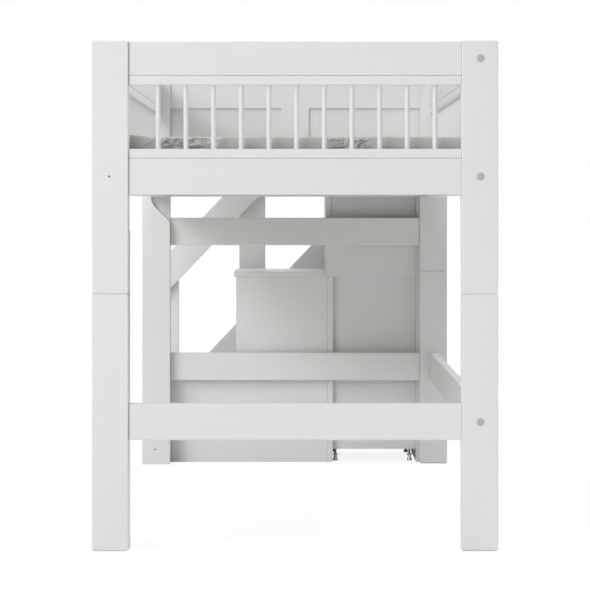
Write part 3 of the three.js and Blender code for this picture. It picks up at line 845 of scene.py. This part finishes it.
@dataclass
class Mattress:
    """A foam mattress in a loose grey knitted cover, bunched up at two places of the foot end."""

    finishes: Finishes
    node: str = "mattress"
    shrink: float = 3 * MILLIMETRE
    top_drop: float = 4.5 * MILLIMETRE
    edge_round: float = 9 * MILLIMETRE
    voxel: float = 16 * MILLIMETRE
    swell: float = 2 * MILLIMETRE
    pressure: float = 4.0
    crown: float = 3 * MILLIMETRE
    ripple: float = 1.2 * MILLIMETRE
    ripple_scale: Triple = (11.0, 11.0, 25.0)
    bunches: tuple[Bunch, ...] = (Bunch(-0.285, 0.115, 1.0), Bunch(0.135, 0.075, 0.75))
    fold: float = 13 * MILLIMETRE
    fold_scale: Triple = (34.0, 34.0, 78.0)
    fold_share: float = 0.75
    crease_scale: Triple = (62.0, 40.0, 96.0)
    crease_share: float = 0.35
    lean: Triple = (0.7, 0.5, -0.45)
    warp: float = 0.016
    warp_scale: float = 22.0
    fold_depth: float = 0.09
    fold_cuts: int = 2
    corner_lift: float = 7 * MILLIMETRE
    corner_right: float = -0.365
    corner_fade: float = 0.045
    seam_radius: float = 1.6 * MILLIMETRE
    seam_height: float = 32 * MILLIMETRE
    clearance: float = 0.4 * MILLIMETRE
    last_frame: int = 20

    def block(self) -> bpy.types.Object:
        """Makes the plain rounded block, a little smaller than the mattress."""
        low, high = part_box(self.node)
        inset = Vector((self.shrink, self.shrink, 1 * MILLIMETRE))
        top_inset = Vector((self.shrink, self.shrink, self.top_drop))
        body = solid_bar(low + inset, high - top_inset, self.edge_round)
        select_only(body)
        bpy.ops.object.transform_apply(location=True, rotation=False, scale=False)
        remesh = body.modifiers.new("even", "REMESH")
        remesh.mode = "VOXEL"
        remesh.voxel_size = self.voxel
        apply_all(body)
        return body

    def inflate(self, body: bpy.types.Object) -> None:
        """Blows the cover up as cloth, and caps how far each point moves.

        Args:
            body: The remeshed block.
        """
        start = [vertex.co.copy() for vertex in body.data.vertices]
        cloth = body.modifiers.new("cover", "CLOTH")
        cloth.settings.use_pressure = True
        cloth.settings.uniform_pressure_force = self.pressure
        cloth.settings.effector_weights.gravity = 0
        cloth.point_cache.frame_end = self.last_frame
        for frame in range(1, self.last_frame + 1):
            bpy.context.scene.frame_set(frame)
        apply_all(body)
        bpy.context.scene.frame_set(1)
        for vertex, origin in zip(body.data.vertices, start):
            moved = vertex.co - origin
            if moved.length > self.swell:
                vertex.co = origin + moved.normalized() * self.swell

    def refine(self, body: bpy.types.Object) -> None:
        """Gives the bunched places a finer mesh than the rest.

        Args:
            body: The cover.
        """
        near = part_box(self.node)[0].y
        finer = body.modifiers.new("finer", "SUBSURF")
        finer.levels = 1
        finer.render_levels = 1
        apply_all(body)
        for face in body.data.polygons:
            at_end = face.center.y < near + self.fold_depth
            face.select = at_end and self.bunching(face.center.x) > 0
        bpy.ops.object.mode_set(mode="EDIT")
        bpy.ops.mesh.subdivide(number_cuts=self.fold_cuts, smoothness=0.0)
        bpy.ops.object.mode_set(mode="OBJECT")

    def bunching(self, across: float) -> float:
        """Gives how strongly the cover is bunched at a place across the bed."""
        return max(bunch.share(across) for bunch in self.bunches)

    def rumple(self, place: Vector, near: float) -> float:
        """Gives how deep a fold is at a point of the foot end.

        Args:
            place: The point.
            near: Where the foot end's face is.

        Returns:
            The depth, from 0 to the deepest fold.
        """
        reach = 1 - (place.y - near) / self.fold_depth
        strength = self.bunching(place.x)
        if reach <= 0 or strength <= 0:
            return 0.0
        right, back, down = self.lean
        leaning = Vector((place.x + right * place.z, back * place.y, place.z + down * place.x))
        warped = leaning + noise.noise_vector(leaning * self.warp_scale) * self.warp
        folds = 1 - abs(noise.noise(warped * Vector(self.fold_scale)))
        fine = warped * Vector(self.crease_scale)
        creases = 1 - abs(noise.noise(fine.zxy))
        height = self.fold_share * folds ** 3 + self.crease_share * creases ** 4
        return self.fold * min(reach, 1) ** 0.5 * strength * (1 - min(height, 1))

    def raised_corner(self, place: Vector, near: float) -> float:
        """Gives how far the cover stands up at the left corner of the foot end.

        Args:
            place: The point on the top.
            near: Where the foot end's face is.

        Returns:
            The rise.
        """
        corner = min(max((self.corner_right - place.x) / self.corner_fade, 0), 1)
        reach = min(max(1 - (place.y - near) / self.fold_depth, 0), 1)
        return self.corner_lift * corner * reach

    def crumple(self, body: bpy.types.Object) -> None:
        """Crowns the top, ripples the sides, bunches up the foot end and lifts its left corner.

        Args:
            body: The cover.
        """
        low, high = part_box(self.node)
        middle = (low + high) / 2
        half = (high - low) / 2
        for vertex in body.data.vertices:
            place = vertex.co.copy()
            across = (place.x - middle.x) / half.x
            along = (place.y - middle.y) / half.y
            wave = noise.fractal(place * Vector(self.ripple_scale), 1.0, 2.1, 3)
            vertex.co.x -= math.copysign(across ** 8, across) * self.ripple * wave
            vertex.co.y -= math.copysign(along ** 12, along) * self.ripple * wave
            if place.z > middle.z:
                vertex.co.z += self.crown * (1 - max(across ** 4, along ** 8))
                vertex.co.z += 0.4 * self.ripple * wave
                vertex.co.z += self.raised_corner(place, low.y)
            if place.z > low.z + self.clearance:
                dent = self.rumple(place, low.y)
                vertex.co.y += dent
                vertex.co.z -= 0.5 * dent * max(place.z - middle.z, 0) / half.z
            for axis in (0, 1):
                least, most = low[axis] + self.clearance, high[axis] - self.clearance
                vertex.co[axis] = min(max(vertex.co[axis], least), most)
            vertex.co.z = max(vertex.co.z, low.z + self.clearance)

    def seam(self) -> bpy.types.Object:
        """Makes the piping that is sewn round the cover above its lower edge."""
        low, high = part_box(self.node)
        size = high - low
        inset = self.seam_radius + self.clearance
        middle = (low + high) / 2
        clear_selection()
        place = (middle.x, middle.y, low.z + self.seam_height)
        bpy.ops.mesh.primitive_plane_add(size=1, location=place)
        loop = bpy.context.object
        loop.scale = (size.x - 2 * inset, size.y - 2 * inset, 1)
        bpy.ops.object.transform_apply(location=False, rotation=False, scale=True)
        edit(loop)
        bpy.ops.mesh.select_all(action="SELECT")
        bpy.ops.mesh.bevel(offset=self.edge_round, segments=8, affect="VERTICES")
        bpy.ops.mesh.delete(type="ONLY_FACE")
        bpy.ops.object.mode_set(mode="OBJECT")
        bpy.ops.object.convert(target="CURVE")
        loop.data.bevel_depth = self.seam_radius
        loop.data.bevel_resolution = 2
        bpy.ops.object.convert(target="MESH")
        loop = settle(bpy.context.object, "mattress_seam", self.finishes.webbing)
        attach(loop, FRAME_BODY)
        return loop

    def build(self) -> bpy.types.Object:
        """Makes the mattress and its sewn seam.

        Returns:
            The mattress, riding with the frame.
        """
        body = self.block()
        self.inflate(body)
        self.refine(body)
        self.crumple(body)
        settle(body, "mattress_body", self.finishes.cover)
        select_only(body)
        bpy.ops.object.shade_smooth()
        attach(body, FRAME_BODY)
        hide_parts(self.node)
        self.seam()
        LOG.info("mattress with %d faces", len(body.data.polygons))
        return body


@dataclass
class LevellingFoot:
    """A zinc plated foot: a flared pad, a knurled disc and a threaded stem."""

    node: str
    finishes: Finishes
    stem: float = 4.0 * MILLIMETRE
    root: float = 3.3 * MILLIMETRE
    thread_pitch: float = 1.25 * MILLIMETRE
    disc: float = 9.0 * MILLIMETRE
    disc_low: float = 19 * MILLIMETRE
    disc_high: float = 23 * MILLIMETRE
    pad: float = 8.5 * MILLIMETRE
    pad_height: float = 3 * MILLIMETRE
    steps: int = 36

    def profile(self, top: float) -> list[tuple[float, float]]:
        """Gives the foot's half outline as radii and heights.

        Args:
            top: The height of its upper end.

        Returns:
            The points from the floor upwards.
        """
        bevel = 0.5 * MILLIMETRE
        points = [
            (0.0, 0.0), (self.pad - bevel, 0.0), (self.pad, bevel),
            (self.pad, self.pad_height - bevel), (self.pad - bevel, self.pad_height),
            (self.stem + bevel, self.disc_low - 2 * bevel),
            (self.stem, self.disc_low), (self.disc - bevel, self.disc_low),
            (self.disc, self.disc_low + bevel), (self.disc, self.disc_high - bevel),
            (self.disc - bevel, self.disc_high), (self.root, self.disc_high),
        ]
        height = self.disc_high
        while height + self.thread_pitch < top:
            points.append((self.stem, height + self.thread_pitch / 2))
            points.append((self.root, height + self.thread_pitch))
            height += self.thread_pitch
        points += [(self.root, top), (0.0, top)]
        return points

    def build(self) -> bpy.types.Object:
        """Turns the foot.

        Returns:
            The foot, riding with the frame.
        """
        low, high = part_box(self.node)
        centre = (low + high) / 2
        outline = self.profile(high.z)
        clear_selection()
        bpy.ops.mesh.primitive_plane_add(size=MILLIMETRE, location=(centre.x, centre.y, low.z))
        foot = bpy.context.object
        bpy.ops.object.transform_apply(location=True, rotation=False, scale=False)
        edit(foot)
        bpy.ops.mesh.select_all(action="SELECT")
        bpy.ops.mesh.merge(type="CENTER")
        for (radius, height), (wider, higher) in zip(outline, outline[1:]):
            bpy.ops.mesh.extrude_region_move(
                TRANSFORM_OT_translate={"value": (wider - radius, 0, higher - height)},
            )
        bpy.ops.mesh.select_all(action="SELECT")
        bpy.ops.mesh.spin(
            steps=self.steps, angle=2 * math.pi, center=(centre.x, centre.y, 0), axis=(0, 0, 1),
        )
        bpy.ops.mesh.select_all(action="SELECT")
        bpy.ops.mesh.remove_doubles(threshold=WELD)
        bpy.ops.mesh.normals_make_consistent(inside=False)
        bpy.ops.object.mode_set(mode="OBJECT")
        settle(foot, f"{self.node}_turned", self.finishes.zinc)
        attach(foot, FRAME_BODY)
        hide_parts(self.node)
        LOG.info("foot %s", self.node)
        return foot


@dataclass(frozen=True)
class Lamp:
    """A square soft lamp on a dome round the bed, which points at the bed's middle."""

    azimuth: float
    elevation: float
    distance: float
    size: float
    power: float
    aim: Triple = (0.0, 0.0, 0.7)

    def build(self, name: str) -> None:
        """Adds the lamp.

        Args:
            name: Its name.
        """
        turn, rise = math.radians(self.azimuth), math.radians(self.elevation)
        flat = math.cos(rise)
        away = Vector((flat * math.sin(turn), -flat * math.cos(turn), math.sin(rise)))
        data = bpy.data.lights.new(name, "AREA")
        data.size = self.size
        data.energy = self.power
        lamp = bpy.data.objects.new(name, data)
        lamp.location = Vector(self.aim) + away * self.distance
        lamp.rotation_euler = away.to_track_quat("Z", "Y").to_euler()
        bpy.context.scene.collection.objects.link(lamp)


@dataclass
class Studio:
    """A white studio with soft even light, and the camera that takes the picture.

    floor_fade holds a near and a far distance from the bed's middle, and how much of the floor's
    look is plain white at each.
    """

    distance: float = 6.030
    height: float = 0.876
    lens: float = 146.73
    drop: float = 0.1585
    sky: float = 0.25
    floor_size: float = 80.0
    floor_top: float = -0.5 * MILLIMETRE
    floor_white: float = 0.97
    floor_roughness: float = 0.9
    floor_gloss: float = 0.1
    floor_glow: float = 1.05
    floor_fade: tuple[float, ...] = (1.6, 4.0, 0.84, 1.0)
    lamps: tuple[Lamp, ...] = (
        Lamp(-45, 35, 12, 4, 416),
        Lamp(-28, 18, 12, 4, 326),
        Lamp(100, 30, 12, 4, 478),
        Lamp(150, 35, 12, 4, 150),
        Lamp(0, 90, 5.5, 5, 151),
    )

    def camera(self) -> None:
        """Sets the camera square to the foot end, shifted down instead of tilted."""
        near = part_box("foot_left_post")[0].y
        data = bpy.data.cameras.new("camera")
        data.lens = self.lens
        data.sensor_width = 36
        data.sensor_fit = "HORIZONTAL"
        data.shift_y = -self.drop
        data.clip_end = 100
        camera = bpy.data.objects.new("camera", data)
        camera.location = (0, near - self.distance, self.height)
        camera.rotation_euler = (math.pi / 2, 0, 0)
        bpy.context.scene.collection.objects.link(camera)
        bpy.context.scene.camera = camera

    def world(self) -> None:
        """Lights the scene from all round, and shows white behind it."""
        world = bpy.data.worlds.new("studio")
        world.use_nodes = True
        bpy.context.scene.world = world
        nodes = world.node_tree.nodes
        links = world.node_tree.links
        light = nodes["Background"]
        light.inputs["Strength"].default_value = self.sky
        light.inputs["Color"].default_value = (1, 1, 1, 1)
        shown = nodes.new("ShaderNodeBackground")
        shown.inputs["Color"].default_value = (1, 1, 1, 1)
        path = nodes.new("ShaderNodeLightPath")
        total = path.outputs["Is Camera Ray"]
        for name in ("Is Glossy Ray", "Is Transmission Ray"):
            most = nodes.new("ShaderNodeMath")
            most.operation = "MAXIMUM"
            links.new(total, most.inputs[0])
            links.new(path.outputs[name], most.inputs[1])
            total = most.outputs[0]
        mix = nodes.new("ShaderNodeMixShader")
        links.new(total, mix.inputs[0])
        links.new(light.outputs[0], mix.inputs[1])
        links.new(shown.outputs[0], mix.inputs[2])
        links.new(mix.outputs[0], nodes["World Output"].inputs["Surface"])

    def floor(self) -> None:
        """Lays a white floor with the bed's shadow, which fades into the background farther off."""
        clear_selection()
        bpy.ops.mesh.primitive_plane_add(size=self.floor_size, location=(0, 0, self.floor_top))
        floor = bpy.context.object
        floor.name = "floor"
        bench = Bench("studio_floor")
        bench.shader.inputs["Base Color"].default_value = (*(self.floor_white,) * 3, 1)
        bench.shader.inputs["Roughness"].default_value = self.floor_roughness
        bench.shader.inputs["Specular IOR Level"].default_value = self.floor_gloss
        away = bench.add("VectorMath")
        away.operation = "LENGTH"
        bench.join(bench.add("TexCoord").outputs["Object"], away.inputs[0])
        near, far, least, most = self.floor_fade
        fade = bench.add("MapRange", From_Min=near, From_Max=far, To_Min=least, To_Max=most)
        bench.join(away.outputs["Value"], fade.inputs["Value"])
        seen = bench.add("LightPath").outputs["Is Camera Ray"]
        mix = bench.add("MixShader")
        bench.join(bench.multiply(seen, fade.outputs["Result"]), mix.inputs[0])
        bench.join(bench.shader.outputs[0], mix.inputs[1])
        bench.join(bench.add("Emission", Strength=self.floor_glow).outputs[0], mix.inputs[2])
        bench.join(mix.outputs[0], bench.nodes["Material Output"].inputs["Surface"])
        floor.data.materials.append(bench.material)

    def build(self) -> None:
        """Sets up the camera, floor, world and lamps."""
        self.camera()
        self.world()
        self.floor()
        for number, lamp in enumerate(self.lamps, 1):
            lamp.build(f"lamp_{number}")
        bpy.context.scene.view_settings.view_transform = "Standard"


def main() -> None:
    """Builds the dressed bed in its studio."""
    logging.basicConfig(level=logging.INFO, format="%(name)s: %(message)s")
    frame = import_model()
    clear_selection()
    bodies = {
        node: body
        for body, members in frame["record"]["behaviour"]["bodies"].items()
        for node in members
    }
    finishes = Finishes().make()
    Studio().build()
    Joinery(finishes, frame["nodes"], bodies).build()
    Bolts(finishes).build()
    BarredGuard("foot_guard", 11, finishes, 4 * MILLIMETRE).build()
    BarredGuard("left_guard", 27, finishes).build()
    BarredGuard("right_guard", 27, finishes).build()
    SlattedBase(finishes).build()
    Mattress(finishes).build()
    for node in sorted(frame["nodes"]):
        if node.startswith("levelling_foot"):
            LevellingFoot(node, finishes).build()


if __name__ == "__main__":
    main()
